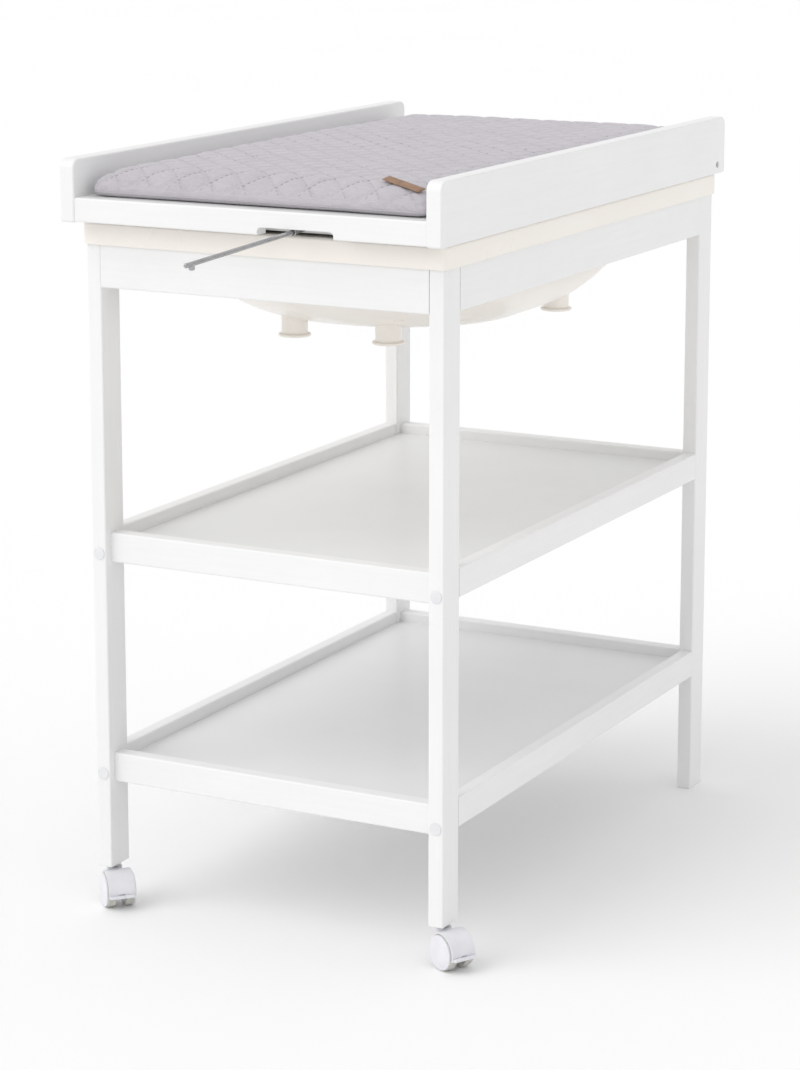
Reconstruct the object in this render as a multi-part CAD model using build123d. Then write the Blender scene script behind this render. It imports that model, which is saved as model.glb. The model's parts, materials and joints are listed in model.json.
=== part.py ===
from build123d import *
import math
import os

# Changing table with a folding changing top over a baby bath, on two castors.
#
# Millimetres. X is the width, Y the depth with the front at -Y, Z is up and the floor is z = 0.
# The parts are drawn about the middle of the frame. The last step moves them all, so that the
# origin is the middle of the bottom face of the whole object's box.

# ---- Frame ------------------------------------------------------------------------------
FRAME_WIDTH = 440.0
FRAME_DEPTH = 740.0
LEG_WIDTH = 18.0
LEG_DEPTH = 38.0
FRAME_TOP = 782.0
EDGE_ROUND = 2.0
LEG_END_ROUND = 1.0
BOARD = 18.0                      # stock thickness of the aprons and of the cross rails
APRON_BOTTOM = 714.0
SIDE_RAIL_THICKNESS = 16.0
SIDE_RAIL_HEIGHT = 33.0
CROSS_RAIL_HEIGHT = 34.0
CROSS_RAIL_DROP = 2.0             # the cross rails' tops are this much below the side rails'
SHELF_TOPS = {"lower": 182.0, "upper": 438.0}
PANEL_DROP = 14.5                 # from the side rails' tops down to the shelf panel
PANEL_THICKNESS = 5.0
PANEL_NOTCH_GAP = 0.2
GROOVE = 4.0
BOLT_RISE = 8.0                   # shelf bolts sit this far above the side rails' bottoms
BOLT_RADIUS = 3.0
BOLT_HEAD_RADIUS = 5.5
BOLT_HEAD_HEIGHT = 4.0
BOLT_HEAD_SUNK = 1.0              # the head's top is this far inside the leg's face
BOLT_REACH = 70.0
CAP_RADIUS = 7.0
CAP_THICKNESS = 1.2
DOWEL_RADIUS = 4.0
DOWEL_LENGTH = 30.0
APRON_DOWEL_HEIGHTS = (731.0, 752.0)
CROSS_DOWEL_RISE = 5.0            # cross-rail dowels sit above the rails' middles, clear of the bolts
CUT = 1.0                         # a cutting solid runs this far past the faces that it cuts

# ---- Castors, under the two front legs -----------------------------------------------------
CASTOR_HEIGHT = 46.0
CASTOR_TURNS = {"left": 46.0, "right": 62.0}     # degrees from facing straight forward
WHEEL_RADIUS = 20.0
TRAIL = 17.0
TREAD_INNER_RADIUS = 15.5
TREAD_ROUND = 1.6
TREAD_INNER_X = 5.6
TREAD_OUTER_X = 15.5
HUB_INNER_X = 5.0
HUB_CAP_RADIUS = 19.0
HUB_CAP_RIM_X = 17.0
HUB_OUTER_X = 19.6
AXLE_RADIUS = 2.5
AXLE_HALF = 14.5
AXLE_END_GAP = 0.3
RUNNING_GAP = 0.05                # radial clearance of every shaft that turns or slides
HOOD_HALF_WIDTH = 15.2
HOOD_OUTER_RADIUS = 22.2
HOOD_INNER_RADIUS = 20.5
HOOD_HEM = 15.0                   # height of the hood's lower edge above the floor
HOOD_BACK_REACH = 11.0            # the hood ends this far behind the wheel's centre
WEB_HALF_WIDTH = 4.4
BOSS_RADIUS = 9.0
BOSS_TOP = 41.4
COLLAR_RADIUS = 7.0
COLLAR_TOP = 44.4
STEM_RADIUS = 4.0
STEM_TOP = 72.0
STEM_BOTTOM = 30.0
BOSS_BOTTOM = 28.0
SOCKET_RADIUS = 5.5
SOCKET_TOP = 76.0
SOCKET_FLANGE_RADIUS = 8.0
SOCKET_FLANGE = 1.2
BRAKE_PIVOT_FORWARD = 15.0        # from the wheel's centre towards the front of the hood
BRAKE_PIVOT_HEIGHT = 17.6
BRAKE_TRUNNION_RADIUS = 1.6
BRAKE_TONGUE_HALF_WIDTH = 3.0
BRAKE_TONGUE_THICKNESS = 2.6
BRAKE_TAB_HALF_WIDTH = 14.5
BRAKE_TAB_START = 22.7
BRAKE_TAB_END = 26.6
BRAKE_TAB_CORNER = 2.0
BRAKE_KNUCKLE_RADIUS = 2.1
BRAKE_SIDE_GAP = 0.3
BRAKE_POCKET_BACK = 3.2           # the pocket's reach behind, below and above the brake's pivot
BRAKE_POCKET_BELOW = 5.6
BRAKE_POCKET_ABOVE = 2.3

# ---- Bath tub ------------------------------------------------------------------------------
RIM_OVERHANG = 3.3
RIM_WALL = 3.0
RIM_DECK = 5.0                    # thickness of the rim where it lies on the frame
RIM_TOP = FRAME_TOP + RIM_DECK
RIM_BOTTOM = 762.0
RIM_CORNER = 5.5
RIM_EDGE = 3.2
TUB_WALL = 3.0
# Height, half width, half depth and corner radius of the bowl's outside, from the rim down.
BOWL_SECTIONS = (
    (RIM_TOP, 189.0, 337.0, 118.0),
    (745.0, 188.0, 331.0, 125.0),
    (714.0, 182.0, 298.0, 140.0),
    (690.0, 171.0, 263.0, 150.0),
    (668.0, 152.0, 214.0, 145.0),
    (657.0, 114.0, 140.0, 110.0),
)
FOOT_BOTTOM = 645.0
FOOT_RADIUS = 15.0
FOOT_LIP_RADIUS = 18.5
FOOT_LIP = 3.0
FOOT_LIP_ROUND = 1.2
FOOT_TOP = 685.0                  # the posts run up to here and are trimmed by the bowl
FOOT_PLACES = ((-60.0, -190.0), (60.0, -190.0), (-125.0, 115.0), (125.0, 115.0))
DRAIN_RADIUS = 14.0
DRAIN_SPIGOT_RADIUS = 18.0
PLUG_FLANGE_RADIUS = 19.0
PLUG_FLANGE = 3.0
PLUG_PULL_RADIUS = 5.0
PLUG_PULL = 6.0
PLUG_ROUND = 1.4

# ---- Changing top --------------------------------------------------------------------------
TOP_WIDTH = 465.0
TOP_FRONT_OVERHANG = 32.0
TOP_REAR_OVERHANG = 8.0
SIDE_BOARD = 18.0
SIDE_BOARD_BOTTOM = 788.5
SIDE_BOARD_TOP = 858.0
SIDE_BOARD_CORNER = 11.0
SIDE_BOARD_FOOT_CORNER = 3.0
SIDE_BOARD_EDGE = 2.2
FRONT_BOARD = 19.0
FRONT_BOARD_SETBACK = 1.5
DECK_TOP = 816.0
DECK_PANEL = 8.0
FRONT_BOARD_BOTTOM = 789.5
RECESS_CENTRE = 60.0
RECESS_WIDTH = 92.0
RECESS_DEPTH = 8.5
RECESS_CORNER = 5.0
REAR_BOARD_BACK = 340.0
REAR_BOARD_BOTTOM = 789.0
BATTEN_FRONT = -364.0
BATTEN_DEPTH = 20.0
BATTEN_BOTTOM = 790.0
BUFFER_RADIUS = 6.0
BUFFER_GAP = 0.2
BUFFER_X = 150.0
TOP_DOWEL_RISE = 9.0              # dowels sit this far above the boards' lower edges

# ---- Hinge at the back ---------------------------------------------------------------------
PIVOT_Y = 354.3
PIVOT_Z = 800.0
PIVOT_RADIUS = 3.0
PIVOT_HEAD_RADIUS = 3.8
PIVOT_HEAD = 3.6
PIVOT_HEAD_SUNK = 2.4             # the head's top is this far inside the side board's face
PIVOT_HEAD_GAP = 0.3
PIVOT_SOCKET_RADIUS = 1.9
PIVOT_SOCKET_DEPTH = 2.2
PIVOT_INNER_END = 2.0             # the shank stops this far from the block's inner face
HINGE_BLOCK_RADIUS = 12.0
HINGE_BLOCK_THICKNESS = 18.0
HINGE_GAP = 0.5
HINGE_SCREW_OFFSET = 8.0
HINGE_SCREW_INSET = 3.0           # from the leg's middle towards the table's middle
HINGE_SCREW_SEAT = 805.0
HINGE_SCREW_TIP = 761.0
HINGE_SCREW_RADIUS = 2.0
HINGE_SCREW_HEAD_RADIUS = 3.6
HINGE_SCREW_HEAD = 2.6
REBATE_FRONT = 359.0
REBATE_TOP = 821.0

# ---- Pull-out towel rail -------------------------------------------------------------------
RAIL_X = 52.0
RAIL_RADIUS = 2.5
RAIL_DROOP = 2.0                  # degrees below level, towards the front
RAIL_FRONT_HEIGHT = 793.0         # centre of the rail at the front face of the top
RAIL_REACH = 205.0
RAIL_INNER_END = 69.0
RAIL_PEG_BACK = 13.0
RAIL_PEG_RADIUS = 3.2
RAIL_PEG_DROP = 6.4
RAIL_END_ROUND = 2.2
RAIL_PEG_ROUND = 1.7
STOP_RADIUS = 4.0
STOP_LENGTH = 7.0
STOP_GAP = 0.5
EYE_WIRE = 0.9
EYE_SHANK_RADIUS = 1.3
EYE_SHANK_TOP = 808.0

# ---- Pad -----------------------------------------------------------------------------------
PAD_HALF_WIDTH = 212.0
PAD_FRONT = -391.0
PAD_BACK = 366.0
PAD_GAP = 0.3
PAD_THICKNESS = 30.0
PAD_CORNER = 40.0
PAD_EDGE = 11.0

# ---- Worked out from the above -------------------------------------------------------------
HALF_WIDTH = FRAME_WIDTH / 2
HALF_DEPTH = FRAME_DEPTH / 2
LEG_X = HALF_WIDTH - LEG_WIDTH / 2
LEG_Y = HALF_DEPTH - LEG_DEPTH / 2
LEG_INNER_X = HALF_WIDTH - LEG_WIDTH
LEG_INNER_Y = HALF_DEPTH - LEG_DEPTH
TOP_HALF_WIDTH = TOP_WIDTH / 2
TOP_INNER_X = TOP_HALF_WIDTH - SIDE_BOARD
TOP_FRONT = -HALF_DEPTH - TOP_FRONT_OVERHANG
TOP_BACK = HALF_DEPTH + TOP_REAR_OVERHANG
FRONT_BOARD_FRONT = TOP_FRONT + FRONT_BOARD_SETBACK
FRONT_BOARD_BACK = FRONT_BOARD_FRONT + FRONT_BOARD
FRONT_BOARD_MIDDLE = FRONT_BOARD_FRONT + FRONT_BOARD / 2
RIM_HALF_WIDTH = HALF_WIDTH + RIM_OVERHANG
RIM_HALF_DEPTH = HALF_DEPTH + RIM_OVERHANG
RAIL_SLOPE = math.tan(math.radians(RAIL_DROOP))
SIDES = {"left": -1, "right": 1}
ENDS = {"front": -1, "rear": 1}

nodes = {}


# ---- Helpers -------------------------------------------------------------------------------
def block(x0, x1, y0, y1, z0, z1):
    """A box between two corners, given in any order."""
    size = (abs(x1 - x0), abs(y1 - y0), abs(z1 - z0))
    return Pos((x0 + x1) / 2, (y0 + y1) / 2, (z0 + z1) / 2) * Box(*size)


def rod_x(x0, x1, y, z, radius):
    """A cylinder along X."""
    return Pos((x0 + x1) / 2, y, z) * Rot(0, 90, 0) * Cylinder(radius, abs(x1 - x0))


def rod_y(x, y0, y1, z, radius):
    """A cylinder along Y."""
    return Pos(x, (y0 + y1) / 2, z) * Rot(90, 0, 0) * Cylinder(radius, abs(y1 - y0))


def rod_z(x, y, z0, z1, radius):
    """A cylinder along Z."""
    return Pos(x, y, (z0 + z1) / 2) * Cylinder(radius, abs(z1 - z0))


def eased(solid, axis, radius):
    """The solid with all its edges along one axis rounded."""
    return fillet(solid.edges().filter_by(axis), radius)


def group(solids):
    """Several separate solids as one node."""
    return Compound(children=list(solids))


# ---- Frame ---------------------------------------------------------------------------------
def shelf_bolt_height(shelf):
    return SHELF_TOPS[shelf] - SIDE_RAIL_HEIGHT + BOLT_RISE


def cross_rail_dowel_height(shelf):
    return SHELF_TOPS[shelf] - CROSS_RAIL_DROP - CROSS_RAIL_HEIGHT / 2 + CROSS_DOWEL_RISE


def shelf_bolts():
    """Bolts through the legs, along the table, into the ends of the side rails."""
    bolts = []
    for side in SIDES.values():
        for end in ENDS.values():
            for shelf in SHELF_TOPS:
                z = shelf_bolt_height(shelf)
                face = end * (HALF_DEPTH - BOLT_HEAD_SUNK)
                head_end = face - end * BOLT_HEAD_HEIGHT
                tip = face - end * BOLT_REACH
                head = rod_y(side * LEG_X, face, head_end, z, BOLT_HEAD_RADIUS)
                bolts.append(head + rod_y(side * LEG_X, head_end, tip, z, BOLT_RADIUS))
    return bolts


def bolt_caps():
    """Round stick-on covers over the bolt heads."""
    caps = []
    for side in SIDES.values():
        for end in ENDS.values():
            for shelf in SHELF_TOPS:
                outer = end * (HALF_DEPTH + CAP_THICKNESS)
                cap = rod_y(side * LEG_X, end * HALF_DEPTH, outer, shelf_bolt_height(shelf), CAP_RADIUS)
                rim = cap.edges().filter_by(GeomType.CIRCLE).sort_by(Axis.Y)
                caps.append(fillet(rim[0] if end < 0 else rim[-1], CAP_THICKNESS / 2))
    return caps


def frame_dowels():
    """Wooden dowels between the legs and the aprons and cross rails."""
    dowels = []
    for side in SIDES.values():
        for end in ENDS.values():
            places = [(HALF_DEPTH - BOARD / 2, z) for z in APRON_DOWEL_HEIGHTS]
            places += [(LEG_Y, cross_rail_dowel_height(shelf)) for shelf in SHELF_TOPS]
            for y, z in places:
                outer = side * (LEG_INNER_X + DOWEL_LENGTH / 2 - GROOVE)
                inner = outer - side * DOWEL_LENGTH
                dowels.append(rod_x(inner, outer, end * y, z, DOWEL_RADIUS))
            for z in APRON_DOWEL_HEIGHTS:
                middle = end * LEG_INNER_Y
                half = DOWEL_LENGTH / 2
                dowels.append(rod_y(side * LEG_X, middle - half, middle + half, z, DOWEL_RADIUS))
    return dowels


def socket_hole(side):
    """The hole in a front leg's foot that takes the castor socket."""
    return rod_z(side * LEG_X, -LEG_Y, CASTOR_HEIGHT - CUT, SOCKET_TOP, SOCKET_RADIUS)


def bolt_head_hole(side, end, shelf):
    """The shallow hole in a leg's face that a bolt's head is sunk in."""
    y0 = end * (HALF_DEPTH + CUT)
    y1 = end * (HALF_DEPTH - BOLT_HEAD_SUNK)
    return rod_y(side * LEG_X, y0, y1, shelf_bolt_height(shelf), BOLT_HEAD_RADIUS)


def leg(side, end, fixings):
    foot = CASTOR_HEIGHT if end < 0 else 0.0
    x0 = side * LEG_INNER_X
    x1 = side * HALF_WIDTH
    stick = block(x0, x1, end * LEG_INNER_Y, end * HALF_DEPTH, foot, FRAME_TOP)
    stick = eased(stick, Axis.Z, EDGE_ROUND)
    stick = fillet(stick.edges().group_by(Axis.Z)[0], LEG_END_ROUND)
    for fixing in fixings:
        stick -= fixing
    for shelf in SHELF_TOPS:
        stick -= bolt_head_hole(side, end, shelf)
    if end < 0:
        stick -= socket_hole(side)
    return stick


def apron_across(end, fixings):
    """Front or rear apron, flush with the legs' faces."""
    y0 = end * (HALF_DEPTH - BOARD)
    board = block(-LEG_INNER_X, LEG_INNER_X, y0, end * HALF_DEPTH, APRON_BOTTOM, FRAME_TOP)
    board = fillet(board.edges().filter_by(Axis.X).group_by(Axis.Z)[0], EDGE_ROUND)
    for fixing in fixings:
        board -= fixing
    return board


def apron_along(side, fixings):
    """Left or right apron, flush with the legs' faces."""
    x0 = side * (HALF_WIDTH - BOARD)
    board = block(x0, side * HALF_WIDTH, -LEG_INNER_Y, LEG_INNER_Y, APRON_BOTTOM, FRAME_TOP)
    board = fillet(board.edges().filter_by(Axis.Y).group_by(Axis.Z)[0], EDGE_ROUND)
    for fixing in fixings:
        board -= fixing
    return board


def shelf_panel(shelf):
    """Thin panel let into grooves in the four rails, notched round the legs."""
    top = SHELF_TOPS[shelf] - PANEL_DROP
    half_x = HALF_WIDTH - SIDE_RAIL_THICKNESS + GROOVE
    half_y = LEG_Y - BOARD / 2 + GROOVE
    panel = block(-half_x, half_x, -half_y, half_y, top - PANEL_THICKNESS, top)
    for side in SIDES.values():
        for end in ENDS.values():
            x0 = side * (LEG_INNER_X - PANEL_NOTCH_GAP)
            y0 = end * (LEG_INNER_Y - PANEL_NOTCH_GAP)
            z0 = top - PANEL_THICKNESS - CUT
            panel -= block(x0, side * HALF_WIDTH, y0, end * HALF_DEPTH, z0, top + CUT)
    return panel


def side_rail(shelf, side, fixings):
    top = SHELF_TOPS[shelf]
    x0 = side * (HALF_WIDTH - SIDE_RAIL_THICKNESS)
    rail = block(x0, side * HALF_WIDTH, -LEG_INNER_Y, LEG_INNER_Y, top - SIDE_RAIL_HEIGHT, top)
    rail = eased(rail, Axis.Y, EDGE_ROUND)
    for fixing in fixings:
        rail -= fixing
    return rail - shelf_panel(shelf)


def cross_rail(shelf, end, fixings):
    top = SHELF_TOPS[shelf] - CROSS_RAIL_DROP
    y0 = end * (LEG_Y - BOARD / 2)
    y1 = end * (LEG_Y + BOARD / 2)
    rail = block(-LEG_INNER_X, LEG_INNER_X, y0, y1, top - CROSS_RAIL_HEIGHT, top)
    rail = eased(rail, Axis.X, EDGE_ROUND)
    for fixing in fixings:
        rail -= fixing
    return rail - shelf_panel(shelf)


# ---- Bath tub ------------------------------------------------------------------------------
def bowl_solid(inset):
    """The bowl as a filled form; inset takes it from the outside face to the inside face."""
    sections = []
    for z, half_x, half_y, radius in BOWL_SECTIONS:
        floor_lift = inset if z == BOWL_SECTIONS[-1][0] else 0.0
        outline = RectangleRounded(2 * (half_x - inset), 2 * (half_y - inset), radius - inset)
        sections.append(Pos(0, 0, z + floor_lift) * outline)
    return loft(sections)


def hinge_screw_places():
    places = []
    for side in SIDES.values():
        for offset in (-HINGE_SCREW_OFFSET, HINGE_SCREW_OFFSET):
            places.append((side * (LEG_X - HINGE_SCREW_INSET), PIVOT_Y + offset))
    return places


def tub():
    """Moulded tub: a skirted rim that sits over the frame, and a bowl hanging through it."""
    outer = RectangleRounded(2 * RIM_HALF_WIDTH, 2 * RIM_HALF_DEPTH, RIM_CORNER)
    inner_width = 2 * (RIM_HALF_WIDTH - RIM_WALL)
    inner_depth = 2 * (RIM_HALF_DEPTH - RIM_WALL)
    inner = RectangleRounded(inner_width, inner_depth, RIM_CORNER - RIM_WALL)
    rim = extrude(Pos(0, 0, RIM_BOTTOM) * outer, RIM_TOP - RIM_BOTTOM)
    rim = fillet(rim.edges().group_by(Axis.Z)[-1], RIM_EDGE)
    rim -= extrude(Pos(0, 0, RIM_BOTTOM) * inner, FRAME_TOP - RIM_BOTTOM)
    body = rim + bowl_solid(0.0) - bowl_solid(TUB_WALL)
    bowl_floor = BOWL_SECTIONS[-1][0]
    body += rod_z(0, 0, FOOT_BOTTOM + CUT, bowl_floor + CUT, DRAIN_SPIGOT_RADIUS)
    body -= rod_z(0, 0, FOOT_BOTTOM, bowl_floor + TUB_WALL + CUT, DRAIN_RADIUS)
    for x, y in hinge_screw_places():
        body -= rod_z(x, y, FRAME_TOP - CUT, RIM_TOP + CUT, HINGE_SCREW_RADIUS)
    return body


def tub_feet():
    """Four round feet under the bowl, each with a flared lip."""
    feet = []
    bowl = bowl_solid(0.0)
    for x, y in FOOT_PLACES:
        lip = rod_z(x, y, FOOT_BOTTOM, FOOT_BOTTOM + FOOT_LIP, FOOT_LIP_RADIUS)
        lip = fillet(lip.edges().filter_by(GeomType.CIRCLE), FOOT_LIP_ROUND)
        post = rod_z(x, y, FOOT_BOTTOM + FOOT_LIP / 2, FOOT_TOP, FOOT_RADIUS) - bowl
        feet.append(lip + post.solids().sort_by(Axis.Z)[0])
    return group(feet)


def drain_plug():
    bowl_floor = BOWL_SECTIONS[-1][0] + TUB_WALL
    flange_top = bowl_floor + PLUG_FLANGE
    plug = rod_z(0, 0, FOOT_BOTTOM + FOOT_LIP, bowl_floor, DRAIN_RADIUS - RUNNING_GAP)
    flange = rod_z(0, 0, bowl_floor, flange_top, PLUG_FLANGE_RADIUS)
    flange = fillet(flange.edges().filter_by(GeomType.CIRCLE).sort_by(Axis.Z)[-1], PLUG_ROUND)
    pull = rod_z(0, 0, bowl_floor, flange_top + PLUG_PULL, PLUG_PULL_RADIUS)
    pull = fillet(pull.edges().filter_by(GeomType.CIRCLE).sort_by(Axis.Z)[-1], PLUG_ROUND)
    return plug + flange + pull


# ---- Hinge ---------------------------------------------------------------------------------
def hinge_block_x(side):
    outer = side * (TOP_INNER_X - HINGE_GAP)
    return outer - side * HINGE_BLOCK_THICKNESS, outer


def hinge_screws():
    """Wood screws that hold the hinge blocks and the tub's rim down on the rear legs."""
    screws = []
    for x, y in hinge_screw_places():
        shank = rod_z(x, y, HINGE_SCREW_TIP, HINGE_SCREW_SEAT, HINGE_SCREW_RADIUS)
        head_top = HINGE_SCREW_SEAT + HINGE_SCREW_HEAD
        screws.append(shank + rod_z(x, y, HINGE_SCREW_SEAT, head_top, HINGE_SCREW_HEAD_RADIUS))
    return screws


def pivot_bolt(side):
    inner = side * (TOP_INNER_X - HINGE_GAP - HINGE_BLOCK_THICKNESS + PIVOT_INNER_END)
    top = side * (TOP_HALF_WIDTH - PIVOT_HEAD_SUNK)
    seat = top - side * PIVOT_HEAD
    shank = rod_x(inner, seat, PIVOT_Y, PIVOT_Z, PIVOT_RADIUS)
    head = rod_x(seat, top, PIVOT_Y, PIVOT_Z, PIVOT_HEAD_RADIUS)
    floor = top - side * PIVOT_SOCKET_DEPTH
    socket = rod_x(floor, top + side * CUT, PIVOT_Y, PIVOT_Z, PIVOT_SOCKET_RADIUS)
    return shank + head - socket


def hinge_block(side):
    """Upright block with a round top, concentric with the pivot."""
    x0, x1 = hinge_block_x(side)
    front = PIVOT_Y - HINGE_BLOCK_RADIUS
    back = PIVOT_Y + HINGE_BLOCK_RADIUS
    body = block(x0, x1, front, back, RIM_TOP, PIVOT_Z)
    body += rod_x(x0, x1, PIVOT_Y, PIVOT_Z, HINGE_BLOCK_RADIUS)
    body -= pivot_bolt(side)
    for screw in hinge_screws():
        body -= screw
    for x, y in hinge_screw_places():
        above = PIVOT_Z + HINGE_BLOCK_RADIUS + CUT
        body -= rod_z(x, y, HINGE_SCREW_SEAT, above, HINGE_SCREW_HEAD_RADIUS)
    return body


# ---- Changing top --------------------------------------------------------------------------
def deck_panel():
    """Board under the pad, let into grooves in the boards round it."""
    half_x = TOP_INNER_X + GROOVE
    y0 = FRONT_BOARD_BACK - GROOVE
    y1 = REAR_BOARD_BACK - BOARD + GROOVE
    return block(-half_x, half_x, y0, y1, DECK_TOP - DECK_PANEL, DECK_TOP)


def top_dowels():
    """Dowels through the side boards' inner faces into the boards across the top."""
    dowels = []
    places = (
        (FRONT_BOARD_MIDDLE, FRONT_BOARD_BOTTOM + TOP_DOWEL_RISE),
        (BATTEN_FRONT + BATTEN_DEPTH / 2, BATTEN_BOTTOM + TOP_DOWEL_RISE),
        (REAR_BOARD_BACK - BOARD / 2, REAR_BOARD_BOTTOM + TOP_DOWEL_RISE),
    )
    for side in SIDES.values():
        for y, z in places:
            inner = side * (TOP_INNER_X - DOWEL_LENGTH / 2)
            outer = side * (TOP_INNER_X + DOWEL_LENGTH / 2 - GROOVE)
            dowels.append(rod_x(inner, outer, y, z, DOWEL_RADIUS))
    return dowels


def side_board(side, fixings):
    x0 = side * TOP_INNER_X
    x1 = side * TOP_HALF_WIDTH
    board = block(x0, x1, TOP_FRONT, TOP_BACK, SIDE_BOARD_BOTTOM, SIDE_BOARD_TOP)
    across = board.edges().filter_by(Axis.X).group_by(Axis.Z)
    board = fillet(across[-1], SIDE_BOARD_CORNER)
    across = board.edges().filter_by(Axis.X).group_by(Axis.Z)
    board = fillet(across[0], SIDE_BOARD_FOOT_CORNER)
    for face in (board.faces().sort_by(Axis.X)[0], board.faces().sort_by(Axis.X)[-1]):
        board = fillet(board.edges().filter_by_position(Axis.X, face.center().X, face.center().X),
                       SIDE_BOARD_EDGE)
    board -= deck_panel()
    for fixing in fixings:
        board -= fixing
    board -= rod_x(x0 - side * CUT, x1, PIVOT_Y, PIVOT_Z, PIVOT_RADIUS + RUNNING_GAP)
    seat = x1 - side * (PIVOT_HEAD_SUNK + PIVOT_HEAD + PIVOT_HEAD_GAP)
    board -= rod_x(seat, x1 + side * CUT, PIVOT_Y, PIVOT_Z, PIVOT_HEAD_RADIUS + PIVOT_HEAD_GAP)
    rebate_x = side * (RIM_HALF_WIDTH + HINGE_GAP)
    bottom = SIDE_BOARD_BOTTOM - CUT
    board -= block(x0 - side * CUT, rebate_x, REBATE_FRONT, TOP_BACK + CUT, bottom, REBATE_TOP)
    return board


def rail_height(y):
    """Height of the towel rail's centre line at a place along the table."""
    return RAIL_FRONT_HEIGHT + (y - TOP_FRONT) * RAIL_SLOPE


def rail_cylinder(y0, y1, radius):
    """A cylinder along the towel rail's own sloping line."""
    length = (y1 - y0) / math.cos(math.radians(RAIL_DROOP))
    middle = (y0 + y1) / 2
    return Pos(RAIL_X, middle, rail_height(middle)) * Rot(RAIL_DROOP, 0, 0) * \
        Rot(90, 0, 0) * Cylinder(radius, length)


def recess():
    """Finger recess in the underside of the front board."""
    top = FRONT_BOARD_BOTTOM + RECESS_DEPTH
    x0 = RECESS_CENTRE - RECESS_WIDTH / 2
    x1 = RECESS_CENTRE + RECESS_WIDTH / 2
    y0 = FRONT_BOARD_FRONT - CUT
    y1 = FRONT_BOARD_BACK + CUT
    hollow = block(x0, x1, y0, y1, FRONT_BOARD_BOTTOM - RECESS_DEPTH, top)
    return fillet(hollow.edges().filter_by(Axis.Y).group_by(Axis.Z)[-1], RECESS_CORNER)


def front_board(fixings):
    board = block(-TOP_INNER_X, TOP_INNER_X, FRONT_BOARD_FRONT, FRONT_BOARD_BACK,
                  FRONT_BOARD_BOTTOM, DECK_TOP)
    front_edges = board.edges().filter_by(Axis.X).group_by(Axis.Y)[0]
    board = fillet(front_edges, EDGE_ROUND)
    board -= recess()
    board -= deck_panel()
    for fixing in fixings:
        board -= fixing
    return board - rail_eye()


def rear_board(fixings):
    board = block(-TOP_INNER_X, TOP_INNER_X, REAR_BOARD_BACK - BOARD, REAR_BOARD_BACK,
                  REAR_BOARD_BOTTOM, DECK_TOP)
    board = fillet(board.edges().filter_by(Axis.X).group_by(Axis.Y)[-1], EDGE_ROUND)
    board -= deck_panel()
    for fixing in fixings:
        board -= fixing
    return board


def front_batten(fixings):
    """Batten under the deck that rests on the rim and guides the towel rail."""
    board = block(-TOP_INNER_X, TOP_INNER_X, BATTEN_FRONT, BATTEN_FRONT + BATTEN_DEPTH,
                  BATTEN_BOTTOM, DECK_TOP - DECK_PANEL)
    for fixing in fixings:
        board -= fixing
    y1 = BATTEN_FRONT + BATTEN_DEPTH + CUT
    return board - rail_cylinder(BATTEN_FRONT - CUT, y1, RAIL_RADIUS + RUNNING_GAP)


def rest_buffers():
    """Rubber buffers between the batten and the tub's rim."""
    y = BATTEN_FRONT + BATTEN_DEPTH / 2
    buffers = []
    for side in SIDES.values():
        buffers.append(rod_z(side * BUFFER_X, y, RIM_TOP + BUFFER_GAP, BATTEN_BOTTOM, BUFFER_RADIUS))
    return group(buffers)


def rail_eye():
    """Screw eye in the recess: a ring round the towel rail and a shank up into the board."""
    y = FRONT_BOARD_MIDDLE
    z = rail_height(y)
    ring_radius = RAIL_RADIUS + RUNNING_GAP + EYE_WIRE
    ring = Pos(RAIL_X, y, z) * Rot(RAIL_DROOP, 0, 0) * Rot(90, 0, 0) * Torus(ring_radius, EYE_WIRE)
    shank = rod_z(RAIL_X, y, z + ring_radius, EYE_SHANK_TOP, EYE_SHANK_RADIUS)
    reach = EYE_SHANK_RADIUS + EYE_WIRE
    return ring + shank - rail_cylinder(y - reach, y + reach, RAIL_RADIUS + RUNNING_GAP)


def pad():
    """Plain solid of the padded mat."""
    outline = RectangleRounded(2 * PAD_HALF_WIDTH, PAD_BACK - PAD_FRONT, PAD_CORNER)
    bottom = DECK_TOP + PAD_GAP
    mat = extrude(Pos(0, (PAD_FRONT + PAD_BACK) / 2, bottom) * outline, PAD_THICKNESS)
    mat = fillet(mat.edges().group_by(Axis.Z)[-1], PAD_EDGE)
    return fillet(mat.edges().group_by(Axis.Z)[0], PAD_EDGE / 2)


# ---- Towel rail ----------------------------------------------------------------------------
def towel_rail_rod():
    tip = TOP_FRONT - RAIL_REACH
    inner = TOP_FRONT + RAIL_INNER_END
    bar = rail_cylinder(tip, inner, RAIL_RADIUS)
    bar = fillet(bar.edges().filter_by(GeomType.CIRCLE).sort_by(Axis.Y)[0], RAIL_END_ROUND)
    peg_y = tip + RAIL_PEG_BACK
    peg_top = rail_height(peg_y)
    peg = rod_z(RAIL_X, peg_y, peg_top - RAIL_PEG_DROP, peg_top, RAIL_PEG_RADIUS)
    peg = fillet(peg.edges().filter_by(GeomType.CIRCLE).sort_by(Axis.Z)[0], RAIL_PEG_ROUND)
    return bar + peg


def towel_rail_stop():
    """Collar on the rail's inner end that stops it against the batten."""
    y0 = BATTEN_FRONT + BATTEN_DEPTH + STOP_GAP
    collar = rail_cylinder(y0, y0 + STOP_LENGTH, STOP_RADIUS)
    return collar - towel_rail_rod()


# ---- Castors, drawn facing -Y about their swivel axis, then turned and placed ----------------
def turned(part, side_name):
    """A castor's part, turned to where its castor points and put under its leg."""
    x = SIDES[side_name] * LEG_X
    return Pos(x, -LEG_Y, 0) * Rot(0, 0, CASTOR_TURNS[side_name]) * part


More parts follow.
